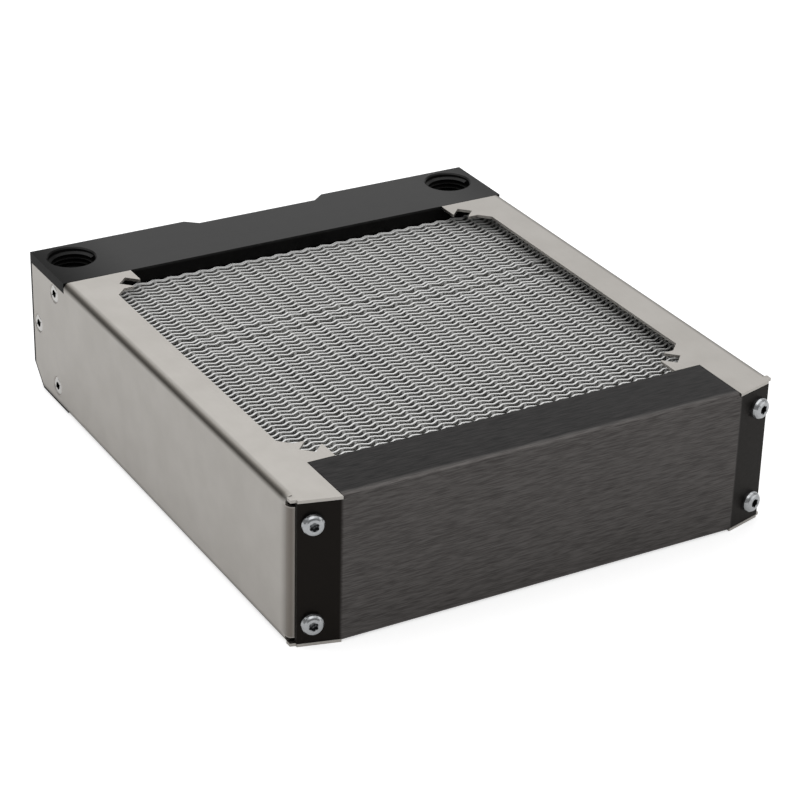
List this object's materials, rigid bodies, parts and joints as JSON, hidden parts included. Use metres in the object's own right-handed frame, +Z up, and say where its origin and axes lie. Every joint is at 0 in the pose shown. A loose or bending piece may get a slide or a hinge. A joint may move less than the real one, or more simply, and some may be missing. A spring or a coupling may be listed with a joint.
{
  "type": "liquid cooling radiator",
  "caption": "Air-cooled radiator for a liquid cooling loop: wavy fins and copper tubes between folded steel side panels, a front cover and a terminal block with threaded ports.",
  "frame": {"origin": "on the fan axis at the underside, where the lower fan face would lie", "axes": "+Z up towards the ports, +Y towards the terminal block, the front cover faces -Y"},
  "size_m": [0.138, 0.1604, 0.04],
  "materials": {
    "black_polymer": "satin machined black",
    "plug_brass": "turned",
    "stainless": "fine brushed",
    "black_aluminium": "brushed and black anodised",
    "fin_aluminium": "mill finish",
    "plate_steel": "zinc plated",
    "tube_copper": "drawn copper",
    "stainless_screw": "plain",
    "zinc_screw": "bright zinc plated"
  },
  "bodies": {
    "root": {"terminal_block": "black_polymer", "upper_gallery_plug": "plug_brass", "lower_gallery_plug": "plug_brass", "right_side_panel": "stainless", "left_side_panel": "stainless", "front_cover": "black_aluminium", "fin_stack": "fin_aluminium", "front_tube_plate": "plate_steel", "hairpin_tube_1": "tube_copper", "hairpin_tube_2": "tube_copper", "hairpin_tube_3": "tube_copper", "hairpin_tube_4": "tube_copper", "hairpin_tube_5": "tube_copper", "hairpin_tube_6": "tube_copper", "hairpin_tube_7": "tube_copper", "right_side_screws": "stainless_screw", "left_side_screws": "stainless_screw", "right_upper_wing_screw": "zinc_screw", "left_upper_wing_screw": "zinc_screw", "right_lower_wing_screw": "zinc_screw", "left_lower_wing_screw": "zinc_screw", "clinch_nuts": "zinc_screw"}
  },
  "joints": []
}
